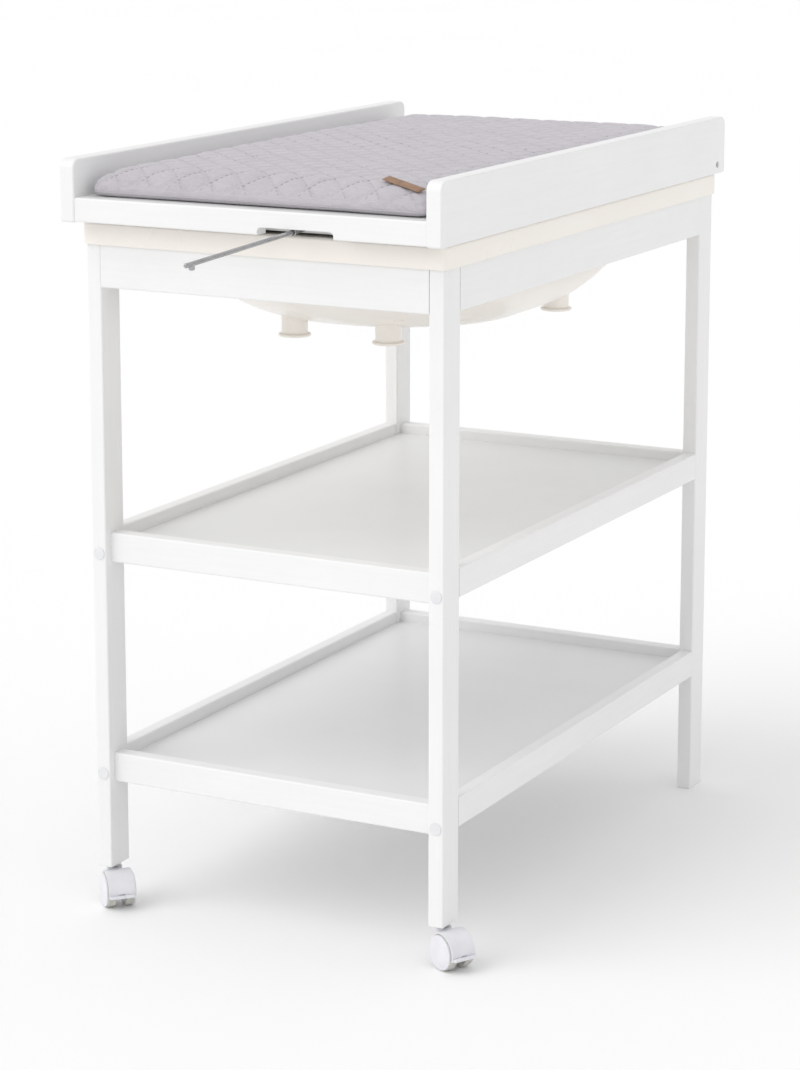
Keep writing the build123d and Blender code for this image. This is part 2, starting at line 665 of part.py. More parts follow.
def castor_socket():
    hole = rod_z(0, 0, COLLAR_TOP, STEM_TOP + CUT, STEM_RADIUS + RUNNING_GAP)
    sleeve = rod_z(0, 0, CASTOR_HEIGHT, SOCKET_TOP, SOCKET_RADIUS)
    flange = rod_z(0, 0, CASTOR_HEIGHT - SOCKET_FLANGE, CASTOR_HEIGHT, SOCKET_FLANGE_RADIUS)
    return sleeve + flange - hole


def castor_stem():
    pin = rod_z(0, 0, STEM_BOTTOM, STEM_TOP, STEM_RADIUS)
    return pin + rod_z(0, 0, BOSS_TOP, COLLAR_TOP, COLLAR_RADIUS)


def brake_pivot():
    return -TRAIL - BRAKE_PIVOT_FORWARD, BRAKE_PIVOT_HEIGHT


def castor_housing():
    """Hood over both wheels, with a web between them that holds the axle and the stem."""
    y_axle = -TRAIL
    hood = rod_x(-HOOD_HALF_WIDTH, HOOD_HALF_WIDTH, y_axle, WHEEL_RADIUS, HOOD_OUTER_RADIUS)
    far = HOOD_OUTER_RADIUS + CUT
    wheel_room = rod_x(-far, far, y_axle, WHEEL_RADIUS, HOOD_INNER_RADIUS)
    hood -= wheel_room
    hood -= block(-far, far, y_axle + HOOD_BACK_REACH, y_axle + far, -far, WHEEL_RADIUS + far)
    web = rod_x(-WEB_HALF_WIDTH, WEB_HALF_WIDTH, y_axle, WHEEL_RADIUS, HOOD_INNER_RADIUS + CUT)
    # The boss is round above the wheels, and as thin as the web between them.
    boss = rod_z(0, 0, BOSS_BOTTOM, BOSS_TOP, BOSS_RADIUS)
    slab = block(-WEB_HALF_WIDTH, WEB_HALF_WIDTH, -BOSS_RADIUS, BOSS_RADIUS, BOSS_BOTTOM, BOSS_TOP)
    boss = (boss - wheel_room) + (boss & slab)
    body = hood + web + boss
    body -= block(-far, far, y_axle - far, y_axle + far, -far, HOOD_HEM)
    pivot_y, pivot_z = brake_pivot()
    half = BRAKE_TONGUE_HALF_WIDTH + BRAKE_SIDE_GAP
    z0 = pivot_z - BRAKE_POCKET_BELOW
    z1 = pivot_z + BRAKE_POCKET_ABOVE
    body -= block(-half, half, y_axle - far, pivot_y + BRAKE_POCKET_BACK, z0, z1)
    trunnion_bore = BRAKE_TRUNNION_RADIUS + RUNNING_GAP
    body -= rod_x(-WEB_HALF_WIDTH, WEB_HALF_WIDTH, pivot_y, pivot_z, trunnion_bore)
    return body - castor_stem() - castor_axle()


def castor_axle():
    return rod_x(-AXLE_HALF, AXLE_HALF, -TRAIL, WHEEL_RADIUS, AXLE_RADIUS)


def castor_brake():
    """Lever on two trunnions, with a tongue between the wheels and a wide toe tab."""
    y, z = brake_pivot()
    half = BRAKE_TONGUE_THICKNESS / 2
    y0 = -TRAIL - BRAKE_TAB_START
    y1 = -TRAIL - BRAKE_TAB_END
    tongue = block(-BRAKE_TONGUE_HALF_WIDTH, BRAKE_TONGUE_HALF_WIDTH, y0 - CUT, y, z - half, z + half)
    knuckle = rod_x(-BRAKE_TONGUE_HALF_WIDTH, BRAKE_TONGUE_HALF_WIDTH, y, z, BRAKE_KNUCKLE_RADIUS)
    trunnion = rod_x(-WEB_HALF_WIDTH, WEB_HALF_WIDTH, y, z, BRAKE_TRUNNION_RADIUS)
    tab = block(-BRAKE_TAB_HALF_WIDTH, BRAKE_TAB_HALF_WIDTH, y0, y1, z - half, z + half)
    tab = fillet(tab.edges().filter_by(Axis.Z).group_by(Axis.Y)[0], BRAKE_TAB_CORNER)
    return tongue + knuckle + trunnion + tab


def wheel_hub(hand):
    """White wheel centre with a domed outer cover; hand is -1 or 1 along the axle."""
    rise = HUB_OUTER_X - HUB_CAP_RIM_X
    dome_radius = (HUB_CAP_RADIUS ** 2 + rise ** 2) / (2 * rise)
    core = rod_x(hand * HUB_INNER_X, hand * HUB_CAP_RIM_X, 0, 0, TREAD_INNER_RADIUS)
    cap = rod_x(hand * TREAD_OUTER_X, hand * (HUB_OUTER_X + CUT), 0, 0, HUB_CAP_RADIUS)
    cap &= Pos(hand * (HUB_OUTER_X - dome_radius), 0, 0) * Sphere(dome_radius)
    bore_end = AXLE_HALF + AXLE_END_GAP
    solid = core + cap - rod_x(0, hand * bore_end, 0, 0, AXLE_RADIUS + RUNNING_GAP)
    return Pos(0, -TRAIL, WHEEL_RADIUS) * solid


def wheel_tread(hand):
    x0 = hand * TREAD_INNER_X
    x1 = hand * TREAD_OUTER_X
    tyre = rod_x(x0, x1, 0, 0, WHEEL_RADIUS)
    tyre = fillet(tyre.edges().filter_by(GeomType.CIRCLE), TREAD_ROUND)
    tyre -= rod_x(0, hand * HUB_OUTER_X, 0, 0, TREAD_INNER_RADIUS)
    return Pos(0, -TRAIL, WHEEL_RADIUS) * tyre


# ---- Assembly ------------------------------------------------------------------------------
def build_frame():
    bolts = shelf_bolts()
    dowels = frame_dowels()
    fixings = bolts + dowels
    screws = hinge_screws()
    for side_name, side in SIDES.items():
        for end_name, end in ENDS.items():
            leg_fixings = fixings + (screws if end > 0 else [])
            nodes[f"leg_{end_name}_{side_name}"] = leg(side, end, leg_fixings)
        nodes[f"apron_{side_name}"] = apron_along(side, dowels)
    for end_name, end in ENDS.items():
        nodes[f"apron_{end_name}"] = apron_across(end, dowels)
    for shelf in SHELF_TOPS:
        for side_name, side in SIDES.items():
            nodes[f"{shelf}_shelf_rail_{side_name}"] = side_rail(shelf, side, bolts)
        for end_name, end in ENDS.items():
            nodes[f"{shelf}_shelf_rail_{end_name}"] = cross_rail(shelf, end, dowels)
        nodes[f"{shelf}_shelf_panel"] = shelf_panel(shelf)
    nodes["shelf_bolts"] = group(bolts)
    nodes["bolt_cover_caps"] = group(bolt_caps())
    nodes["frame_dowels"] = group(dowels)
    nodes["tub"] = tub()
    nodes["tub_feet"] = tub_feet()
    nodes["drain_plug"] = drain_plug()
    for side_name, side in SIDES.items():
        nodes[f"hinge_block_{side_name}"] = hinge_block(side)
    nodes["hinge_block_screws"] = group(screws)
    nodes["pivot_bolts"] = group(pivot_bolt(side) for side in SIDES.values())


def build_top():
    dowels = top_dowels()
    for side_name, side in SIDES.items():
        nodes[f"side_board_{side_name}"] = side_board(side, dowels)
    nodes["front_board"] = front_board(dowels)
    nodes["rear_board"] = rear_board(dowels)
    nodes["deck_panel"] = deck_panel()
    nodes["front_batten"] = front_batten(dowels)
    nodes["top_dowels"] = group(dowels)
    nodes["rest_buffers"] = rest_buffers()
    nodes["rail_eye"] = rail_eye()
    nodes["pad"] = pad()
    nodes["towel_rail_rod"] = towel_rail_rod()
    nodes["towel_rail_stop"] = towel_rail_stop()


def build_castors():
    for side_name in SIDES:
        name = f"castor_{side_name}"
        nodes[f"{name}_socket"] = turned(castor_socket(), side_name)
        nodes[f"{name}_stem"] = turned(castor_stem(), side_name)
        nodes[f"{name}_housing"] = turned(castor_housing(), side_name)
        nodes[f"{name}_axle"] = turned(castor_axle(), side_name)
        nodes[f"{name}_brake"] = turned(castor_brake(), side_name)
        for wheel_name, hand in (("wheel_a", -1), ("wheel_b", 1)):
            nodes[f"{name}_{wheel_name}_hub"] = turned(wheel_hub(hand), side_name)
            nodes[f"{name}_{wheel_name}_tread"] = turned(wheel_tread(hand), side_name)


def export_all():
    """Moves the origin to the middle of the box's bottom face and writes one file per node."""
    os.makedirs("parts", exist_ok=True)
    boxes = [part.bounding_box() for part in nodes.values()]
    low = [min(axis) for axis in zip(*(tuple(box.min) for box in boxes))]
    high = [max(axis) for axis in zip(*(tuple(box.max) for box in boxes))]
    shift = Pos(-(low[0] + high[0]) / 2, -(low[1] + high[1]) / 2, -low[2])
    print("frame centre is moved by", shift.position)
    for name, part in nodes.items():
        export_step(shift * part, f"parts/{name}.step")


build_frame()
build_top()
build_castors()
export_all()
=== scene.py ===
import json
import math

import bmesh
import bpy
from mathutils import Matrix, Vector, noise
from mathutils.bvhtree import BVHTree


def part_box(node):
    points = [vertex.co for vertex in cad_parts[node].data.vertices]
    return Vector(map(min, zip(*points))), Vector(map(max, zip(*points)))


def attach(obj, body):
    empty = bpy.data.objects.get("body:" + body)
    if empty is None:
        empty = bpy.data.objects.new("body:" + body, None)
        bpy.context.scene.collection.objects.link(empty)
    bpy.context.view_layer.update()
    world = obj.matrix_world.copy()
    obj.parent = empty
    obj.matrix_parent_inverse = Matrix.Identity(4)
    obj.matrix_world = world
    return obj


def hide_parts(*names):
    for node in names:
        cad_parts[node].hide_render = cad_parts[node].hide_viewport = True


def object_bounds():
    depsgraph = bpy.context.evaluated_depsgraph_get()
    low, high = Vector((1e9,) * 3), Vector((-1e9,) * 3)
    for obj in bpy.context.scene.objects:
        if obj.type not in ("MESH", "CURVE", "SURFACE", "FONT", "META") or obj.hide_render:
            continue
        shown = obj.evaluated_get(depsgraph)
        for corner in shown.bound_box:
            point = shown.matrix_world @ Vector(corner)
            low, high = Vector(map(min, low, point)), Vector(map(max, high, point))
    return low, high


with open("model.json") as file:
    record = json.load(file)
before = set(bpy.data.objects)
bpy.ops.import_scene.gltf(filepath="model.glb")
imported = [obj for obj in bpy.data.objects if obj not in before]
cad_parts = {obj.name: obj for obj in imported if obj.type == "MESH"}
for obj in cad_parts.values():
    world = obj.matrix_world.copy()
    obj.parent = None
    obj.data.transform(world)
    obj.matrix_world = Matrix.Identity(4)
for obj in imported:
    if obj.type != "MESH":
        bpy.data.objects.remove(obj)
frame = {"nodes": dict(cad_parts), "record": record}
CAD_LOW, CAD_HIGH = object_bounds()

# Changing table: the looks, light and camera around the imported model. Metres, in the model's frame.
MM = 0.001
UP = Vector((0, 0, 1))
SCENE = bpy.context.scene
CENTRE = (CAD_LOW + CAD_HIGH) / 2
CENTRE_LINE_X = (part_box("pad")[0].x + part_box("pad")[1].x) / 2    # the quilting is laid out from this line

# ---- Camera, light and floor -------------------------------------------------------------
AZIMUTH = 27.55                   # degrees round from the front, towards the right
ELEVATION = 10.76                 # degrees up
CAMERA_DISTANCE = 3.537
AIM_OFFSET = Vector((0.00674, 0.032, 0.135))    # from the table's middle to the point aimed at
LENS = 102.9
SHIFT_Y = -0.13
WORLD_STRENGTH = 0.86
SUN_AZIMUTH = -38
SUN_ELEVATION = 42
SUN_SPREAD = 50                   # degrees across, which keeps its shadows soft
SUN_STRENGTH = 0.95
SUN_DISTANCE = 3                  # where the lamp stands, with no effect on its light
FLOOR_REACH = 60.0                # from the middle of the floor to its edges

# ---- Pad ---------------------------------------------------------------------------------
PAD_CORNER = 15 * MM
PAD_VOXEL = 5 * MM
PAD_CAP = 7 * MM                  # the pressure may move a point this far
PAD_PRESSURE = 4.0
PAD_FRAMES = 20
# Pairs in millimetres: a height, and how far the blank's outline is drawn in there.
PAD_PROFILE = ((0.0, 5.0), (3.0, 2.0), (7.0, 1.5), (10.5, 3.0), (14.0, 7.0), (17.5, 13.0), (21.0, 22.0),
               (24.0, 35.0), (25.5, 52.0))
LEAST_CORNER = 2 * MM             # an outline's corners stay at least this round
SEAM_HEIGHT = 5.0 * MM
SEAM_RADIUS = 0.7 * MM
SEAM_POINTS = 900
SEAM_SIDES = 6
QUILT_EDGE = 9 * MM               # the quilting stops at this height on the pad's edge
QUILT_FADE = 4 * MM               # and is at full depth this much higher
QUILT_TURN = 6 * MM               # below the top by this much, the pattern starts down the side
QUILT_PITCH = 40 * MM             # corner to corner of a diamond
QUILT_DEPTH = 2.1 * MM
GROOVE_WIDTH = 2.6 * MM
GROOVE_SHARE = 0.55               # of the depth, pressed in along the stitch lines
CROWN_SHARE = 0.6                 # of the depth, raised between them
# Unevenness of the surface: a size, and how many features it has in a metre.
PUFF, PUFFS = 0.4, 14             # share by which one diamond is fuller than another
WAVE, WAVES = 1.6 * MM, 6.5
CRUMPLE, CRUMPLES = 0.5 * MM, 60
STITCH = 3.4 * MM
STITCH_GAP = 2.2 * MM
STITCH_INSET = 9 * MM             # the stitches stop this far in from the pad's sides
THREAD_RADIUS = 0.4 * MM
# Along a stitch: the share of its length, and the thread's size there.
STITCH_PROFILE = ((0.0, 0.25), (0.2, 0.9), (0.5, 1.0), (0.8, 0.9), (1.0, 0.25))
TAG_SIZE = (52 * MM, 11 * MM, 1.6 * MM)
TAG_PLACE = (44 * MM, 30 * MM)    # its middle, in from the pad's right side and front edge
TAG_TURN = math.radians(-16)
TAG_CELLS = (22, 8)
TAG_GAP = 0.4 * MM                # between the tag and the cotton under it
TAG_LIFT = 1.5 * MM               # the most that the tag is raised to clear the quilting
TAG_EDGE = 1.2 * MM               # width of the rounding along its edges
TAG_ROUNDING = 0.5 * MM           # height of the rounding
RAY_START = 0.1                   # rays down at the pad start this far above it
SIDE_RAY_START = 20 * MM          # rays at its side start this far outside it


# ---- Material helpers --------------------------------------------------------------------
class Look:
    """A material under construction: a principled shader and short ways to add nodes to it."""

    def __init__(self, name, **sockets):
        self.material = bpy.data.materials.new(name)
        self.material.use_nodes = True
        self.nodes = self.material.node_tree.nodes
        self.links = self.material.node_tree.links
        self.shader = self.nodes["Principled BSDF"]
        self.coordinates = self.nodes.new("ShaderNodeTexCoord").outputs["Object"]
        self.normal = None
        for socket, value in sockets.items():
            self.set(socket.replace("_", " "), value)

    def set(self, socket, value):
        """Links an output to a shader socket, or sets a plain value on it."""
        self.put(self.shader.inputs[socket], value)

    def put(self, target, value):
        """Links an output to any socket, or sets a plain value on it."""
        if isinstance(value, bpy.types.NodeSocket):
            self.links.new(value, target)
        else:
            target.default_value = value

    def noise(self, scale, detail, stretch=(1, 1, 1)):
        """Noise with features about 1/scale metres across, drawn out by dividing by stretch."""
        mapping = self.nodes.new("ShaderNodeMapping")
        mapping.inputs["Scale"].default_value = [1 / s for s in stretch]
        self.links.new(self.coordinates, mapping.inputs["Vector"])
        texture = self.nodes.new("ShaderNodeTexNoise")
        texture.inputs["Scale"].default_value = scale
        texture.inputs["Detail"].default_value = detail
        texture.inputs["Roughness"].default_value = 0.55
        self.links.new(mapping.outputs["Vector"], texture.inputs["Vector"])
        return texture.outputs["Fac"]

    def bands(self, pitch, axis):
        """Threads side by side along one axis, a pitch apart."""
        wave = self.nodes.new("ShaderNodeTexWave")
        wave.bands_direction = axis
        wave.inputs["Scale"].default_value = math.tau / (20 * pitch)
        wave.inputs["Distortion"].default_value = 0.6
        wave.inputs["Detail"].default_value = 1.0
        wave.inputs["Detail Scale"].default_value = 2.0
        self.links.new(self.coordinates, wave.inputs["Vector"])
        return wave.outputs["Fac"]

    def ranged(self, value, low, high, start=0.3, end=0.7):
        """The value between start and end, spread from low to high."""
        node = self.nodes.new("ShaderNodeMapRange")
        ends = {"From Min": start, "From Max": end, "To Min": low, "To Max": high}
        for socket, number in ends.items():
            node.inputs[socket].default_value = number
        self.links.new(value, node.inputs["Value"])
        return node.outputs["Result"]

    def math(self, kind, a, b):
        """Two values combined by one operation."""
        node = self.nodes.new("ShaderNodeMath")
        node.operation = kind
        self.put(node.inputs[0], a)
        self.put(node.inputs[1], b)
        return node.outputs[0]

    def mixed(self, factor, a, b):
        """One colour turning into another with the factor."""
        node = self.nodes.new("ShaderNodeMix")
        node.data_type = "RGBA"
        self.put(node.inputs["Factor"], factor)
        for socket, value in (("A", a), ("B", b)):
            target = [i for i in node.inputs if i.name == socket and i.type == "RGBA"][0]
            self.put(target, value if isinstance(value, bpy.types.NodeSocket) else (*value, 1.0))
        return [o for o in node.outputs if o.type == "RGBA"][0]

    def toned(self, pattern, light, dark):
        """Two tones of a colour, turning into each other with a pattern."""
        return self.mixed(self.ranged(pattern, 0.0, 1.0), light, dark)

    def edge_mask(self, radius):
        """1 along edges sharper than the radius, 0 on flat and gently curved faces."""
        bevel = self.nodes.new("ShaderNodeBevel")
        bevel.samples = 6
        bevel.inputs["Radius"].default_value = radius
        geometry = self.nodes.new("ShaderNodeNewGeometry")
        dot = self.nodes.new("ShaderNodeVectorMath")
        dot.operation = "DOT_PRODUCT"
        self.links.new(bevel.outputs["Normal"], dot.inputs[0])
        self.links.new(geometry.outputs["Normal"], dot.inputs[1])
        return self.ranged(dot.outputs["Value"], 1.0, 0.0, 0.70, 0.93)

    def worn(self, tone, radius, share, colour):
        """The tone, turning by a share into another colour along edges sharper than the radius."""
        return self.mixed(self.math("MULTIPLY", self.edge_mask(radius), share), tone, colour)

    def bump(self, height, distance, strength):
        """Adds relief, in metres, on top of what is there."""
        node = self.nodes.new("ShaderNodeBump")
        node.inputs["Strength"].default_value = strength
        node.inputs["Distance"].default_value = distance
        self.links.new(height, node.inputs["Height"])
        if self.normal is not None:
            self.links.new(self.normal, node.inputs["Normal"])
        self.normal = node.outputs["Normal"]
        self.links.new(self.normal, self.shader.inputs["Normal"])


def along(axis, far):
    """Stretch factors that draw a pattern out along one axis."""
    return tuple(far if i == axis else 1.0 for i in range(3))


# ---- Materials ---------------------------------------------------------------------------
def painted_wood(axis):
    """White satin paint over wood, with the grain just showing along an axis."""
    look = Look(f"white_paint_{'xyz'[axis]}", Coat_Weight=0.12, Coat_Roughness=0.22)
    grain = look.noise(260, 4.0, along(axis, 26.0))
    pores = look.noise(620, 2.0, along(axis, 30.0))
    tone = look.toned(look.noise(7, 3.0), (0.872, 0.872, 0.868), (0.846, 0.846, 0.848))
    tone = look.mixed(look.ranged(grain, 0.0, 0.30), tone, (0.80, 0.80, 0.797))
    look.set("Base Color", look.worn(tone, 1.6 * MM, 0.35, (0.74, 0.735, 0.72)))
    look.set("Roughness", look.ranged(look.noise(90, 3.0), 0.30, 0.44))
    look.bump(look.noise(1500, 2.0), 0.05 * MM, 0.5)
    look.bump(grain, 0.10 * MM, 0.6)
    look.bump(look.ranged(pores, 1.0, 0.0, 0.30, 0.42), 0.05 * MM, 0.5)
    return look.material


def white_laminate():
    """Thin painted board of the shelves, smoother than the rails."""
    look = Look("white_laminate", Coat_Weight=0.2, Coat_Roughness=0.15)
    look.set("Base Color", look.toned(look.noise(4, 3.0), (0.80, 0.805, 0.80), (0.775, 0.78, 0.775)))
    look.set("Roughness", look.ranged(look.noise(12, 3.0), 0.30, 0.40))
    look.bump(look.noise(900, 2.0), 0.02 * MM, 0.4)
    return look.material


def cream_plastic():
    """Glossy cream moulding of the bath tub."""
    look = Look("cream_plastic", Coat_Weight=0.3, Coat_Roughness=0.1)
    look.set("Base Color", look.toned(look.noise(4, 2.0), (0.915, 0.872, 0.815), (0.900, 0.855, 0.795)))
    look.set("Roughness", look.ranged(look.noise(6, 2.0), 0.26, 0.34))
    look.bump(look.noise(1800, 2.0), 0.006 * MM, 0.3)
    return look.material


def moulded_plastic(name, colour, roughness):
    """Plain moulding with a fine spark-eroded surface."""
    look = Look(name, Subsurface_Weight=0.05, Subsurface_Scale=0.003)
    dark = tuple(c * 0.93 for c in colour)
    worn = tuple(c * 0.82 for c in colour)
    look.set("Base Color", look.worn(look.toned(look.noise(60, 3.0), colour, dark), 0.8 * MM, 0.4, worn))
    look.set("Roughness", look.ranged(look.noise(300, 3.0), roughness - 0.05, roughness + 0.08))
    look.bump(look.noise(3500, 2.0), 0.03 * MM, 0.7)
    return look.material


def soft_rubber(name, colour, roughness):
    """Rubber with a dusty, slightly pitted surface."""
    look = Look(name)
    dusty = tuple(min(1.0, c * 1.35 + 0.03) for c in colour)
    look.set("Base Color", look.mixed(look.ranged(look.noise(180, 5.0), 0.0, 0.7), colour, dusty))
    look.set("Roughness", look.ranged(look.noise(400, 3.0), roughness - 0.06, roughness + 0.1))
    look.bump(look.noise(1800, 3.0), 0.05 * MM, 0.7)
    return look.material


def chrome_painted_dark_reflection():
    """Bright chromed rod, with faint drawing lines along it. Its base colour is set darker than chrome's own,
    a painted reflection of darker surroundings.
    """
    look = Look("chrome", Metallic=1.0)
    lines = look.noise(1400, 2.0, along(1, 60.0))
    # Painted reflection: the base colour is set below chrome's own, so the rod reads mid-grey as though it
    # reflected darker surroundings.
    look.set("Base Color", look.toned(look.noise(45, 4.0), (0.46, 0.46, 0.47), (0.36, 0.36, 0.37)))
    look.set("Roughness", look.ranged(lines, 0.08, 0.20))
    look.bump(lines, 0.01 * MM, 0.5)
    return look.material


def zinc_steel():
    """Dull zinc-plated steel of the bolts, screws and axles."""
    look = Look("zinc_steel", Metallic=1.0)
    look.set("Base Color", look.toned(look.noise(160, 5.0), (0.60, 0.60, 0.61), (0.44, 0.44, 0.45)))
    look.set("Roughness", look.ranged(look.noise(500, 3.0), 0.26, 0.45))
    look.bump(look.noise(1600, 3.0), 0.02 * MM, 0.6)
    return look.material


def beech():
    """Bare beech of the dowels."""
    look = Look("beech")
    grain = look.noise(240, 5.0, along(0, 14.0))
    look.set("Base Color", look.toned(grain, (0.66, 0.47, 0.28), (0.50, 0.33, 0.18)))
    look.set("Roughness", look.ranged(grain, 0.42, 0.6))
    look.bump(grain, 0.08 * MM, 0.6)
    return look.material


def quilted_cotton():
    """Mauve-grey melange cotton: a plain weave, with flecks and a soft sheen."""
    look = Look("pad_cotton", Sheen_Weight=0.35, Sheen_Roughness=0.5, Sheen_Tint=(0.9, 0.88, 0.92, 1.0))
    warp = look.noise(850, 2.0, along(0, 9.0))
    weft = look.noise(850, 2.0, along(1, 9.0))
    threads = look.math("MAXIMUM", warp, weft)
    weave = look.math("MULTIPLY", look.bands(0.9 * MM, "X"), look.bands(0.9 * MM, "Y"))
    tone = look.toned(look.noise(22, 4.0), (0.545, 0.518, 0.552), (0.492, 0.466, 0.502))
    tone = look.mixed(look.ranged(threads, 0.0, 0.8, 0.5, 0.75), tone, (0.64, 0.615, 0.645))
    look.set("Base Color", look.mixed(look.ranged(weave, 0.35, 0.0, 0.0, 0.4), tone, (0.36, 0.34, 0.37)))
    look.set("Roughness", look.ranged(look.noise(200, 3.0), 0.82, 0.96))
    look.bump(weave, 0.16 * MM, 0.7)
    look.bump(threads, 0.2 * MM, 0.6)
    look.bump(look.noise(45, 3.0), 0.9 * MM, 0.5)
    return look.material


def thread_with_dent_shade():
    """Matt grey thread of the quilting and the seam, a little darker than the cotton: partly its own tone,
    partly painted shade of the needle dents.
    """
    look = Look("thread_with_dent_shade", Roughness=0.75, Sheen_Weight=0.3)
    # Painted shade: the thread's grey is set a little darker than the cotton, standing in for the shade in
    # the needle dents along the stitches.
    look.set("Base Color", look.toned(look.noise(1500, 2.0), (0.52, 0.50, 0.53), (0.42, 0.40, 0.43)))
    look.bump(look.noise(4000, 2.0), 0.1 * MM, 0.8)
    return look.material


def tag_leather():
    """Brown leather with fine pores and darker cut edges."""
    look = Look("tag_leather")
    pores = look.nodes.new("ShaderNodeTexVoronoi")
    pores.inputs["Scale"].default_value = 900
    look.links.new(look.coordinates, pores.inputs["Vector"])
    tone = look.toned(look.noise(120, 5.0), (0.34, 0.20, 0.125), (0.24, 0.135, 0.08))
    look.set("Base Color", look.worn(tone, 0.7 * MM, 0.8, (0.16, 0.09, 0.055)))
    look.set("Roughness", look.ranged(look.noise(260, 3.0), 0.45, 0.65))
    look.bump(pores.outputs["Distance"], 0.12 * MM, 0.8)
    return look.material


def studio_floor():
    """Plain pale floor."""
    look = Look("studio_floor", Roughness=0.8)
    look.set("Base Color", look.toned(look.noise(0.7, 2.0), (0.955, 0.955, 0.955), (0.945, 0.945, 0.948)))
    look.bump(look.noise(300, 2.0), 0.05 * MM, 0.3)
    return look.material


# ---- Carried-over CAD nodes ----------------------------------------------------------------
def finish_cad_nodes():
    """Gives every CAD node the material of its slot, with wood grain along its longest side."""
    woods = [painted_wood(axis) for axis in range(3)]
    looks = {
        "white_panel": white_laminate(),
        "tub_plastic": cream_plastic(),
        "plug_plastic": moulded_plastic("plug_plastic", (0.72, 0.72, 0.70), 0.35),
        "chrome": chrome_painted_dark_reflection(),
        "steel": zinc_steel(),
        "castor_plastic": moulded_plastic("castor_nylon", (0.80, 0.80, 0.84), 0.36),
        "castor_tread": soft_rubber("castor_tread", (0.47, 0.46, 0.43), 0.55),
        "cap_plastic": moulded_plastic("cap_plastic", (0.80, 0.80, 0.82), 0.42),
        "buffer_rubber": soft_rubber("buffer_rubber", (0.06, 0.06, 0.06), 0.6),
        "dowel_wood": beech(),
        "pad_fabric": quilted_cotton(),
    }
    slots = {entry["node"]: entry["material_slot"] for entry in frame["record"]["subparts"]}
    for name, node in frame["nodes"].items():
        low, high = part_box(name)
        sides = [high[i] - low[i] for i in range(3)]
        look = looks.get(slots[name]) or woods[sides.index(max(sides))]
        for material_slot in node.material_slots:
            material_slot.material = look
    return looks


# ---- Mesh helpers --------------------------------------------------------------------------
def new_piece(name, mesh, material):
    """A piece in the scene, made from a mesh."""
    piece = bpy.data.objects.new(name, mesh)
    SCENE.collection.objects.link(piece)
    mesh.materials.append(material)
    return piece


def mesh_from(bm, name):
    """A smooth mesh with its faces turned outwards. The bmesh is used up."""
    bmesh.ops.recalc_face_normals(bm, faces=bm.faces)
    mesh = bpy.data.meshes.new(name)
    bm.to_mesh(mesh)
    bm.free()
    mesh.shade_smooth()
    return mesh


def baked(piece):
    """The piece's mesh with its modifiers applied and taken off."""
    graph = bpy.context.evaluated_depsgraph_get()
    mesh = bpy.data.meshes.new_from_object(piece.evaluated_get(graph), depsgraph=graph)
    piece.modifiers.clear()
    piece.data = mesh
    mesh.shade_smooth()
    return mesh


def skin(bm, rings):
    """Faces from each ring of points to the next."""
    for below, above in zip(rings, rings[1:]):
        for i in range(len(below)):
            j = (i + 1) % len(below)
            bm.faces.new((below[i], below[j], above[j], above[i]))


def rounded_outline(low, high, inset, corner, steps=10):
    """Points round a rounded rectangle, drawn in by inset, in order."""
    points = []
    radius = max(corner - inset, LEAST_CORNER)
    x0, x1 = low.x + inset + radius, high.x - inset - radius
    y0, y1 = low.y + inset + radius, high.y - inset - radius
    for number, (x, y) in enumerate(((x1, y1), (x0, y1), (x0, y0), (x1, y0))):
        for step in range(steps + 1):
            angle = math.radians(90 * (number + step / steps))
            points.append((x + radius * math.cos(angle), y + radius * math.sin(angle)))
    return points


# ---- Pad -----------------------------------------------------------------------------------
def pad_blank(low, high):
    """The pad's filling before it is blown up: a closed form with a crowned top edge."""
    bm = bmesh.new()
    rings = []
    for height, inset in PAD_PROFILE:
        outline = rounded_outline(low, high, inset * MM, PAD_CORNER)
        rings.append([bm.verts.new((x, y, low.z + height * MM)) for x, y in outline])
    skin(bm, rings)
    bm.faces.new(list(reversed(rings[0])))
    bm.faces.new(rings[-1])
    return mesh_from(bm, "pad_blank")


def blow_up(piece, low):
    """Cloth simulation with pressure. No point moves further than the cap, or ends up under the pad."""
    rest = [v.co.copy() for v in piece.data.vertices]
    modifier = piece.modifiers.new("Cloth", "CLOTH")
    cloth = modifier.settings
    cloth.quality = 4
    cloth.use_pressure = True
    cloth.uniform_pressure_force = PAD_PRESSURE
    cloth.effector_weights.gravity = 0
    modifier.point_cache.frame_start = 1
    modifier.point_cache.frame_end = PAD_FRAMES
    for number in range(1, PAD_FRAMES + 1):
        SCENE.frame_set(number)
    mesh = baked(piece)
    for vertex, start in zip(mesh.vertices, rest):
        move = vertex.co - start
        if move.length > 0:
            move *= PAD_CAP * math.tanh(move.length / PAD_CAP) / move.length
        vertex.co = start + move
        vertex.co.z = max(vertex.co.z, low.z)
    SCENE.frame_set(1)


def line_distance(x, y, sign):
    """Distance to the nearest stitch line of one of the two diagonal families."""
    across = (x + sign * y) / QUILT_PITCH
    return abs(across - round(across)) * QUILT_PITCH / math.sqrt(2)


def quilt_shares(x, y):
    """How deep a point lies in a stitch groove, and how high on its diamond, from 0 to 1."""
    near = [line_distance(x, y, sign) for sign in (-1, 1)]
    groove = max(math.exp(-(d / GROOVE_WIDTH) ** 2) for d in near)
    half = QUILT_PITCH / math.sqrt(2) / 2
    rises = [math.sin(math.pi / 2 * min(1, d / half)) for d in near]
    return groove, math.sqrt(rises[0] * rises[1])


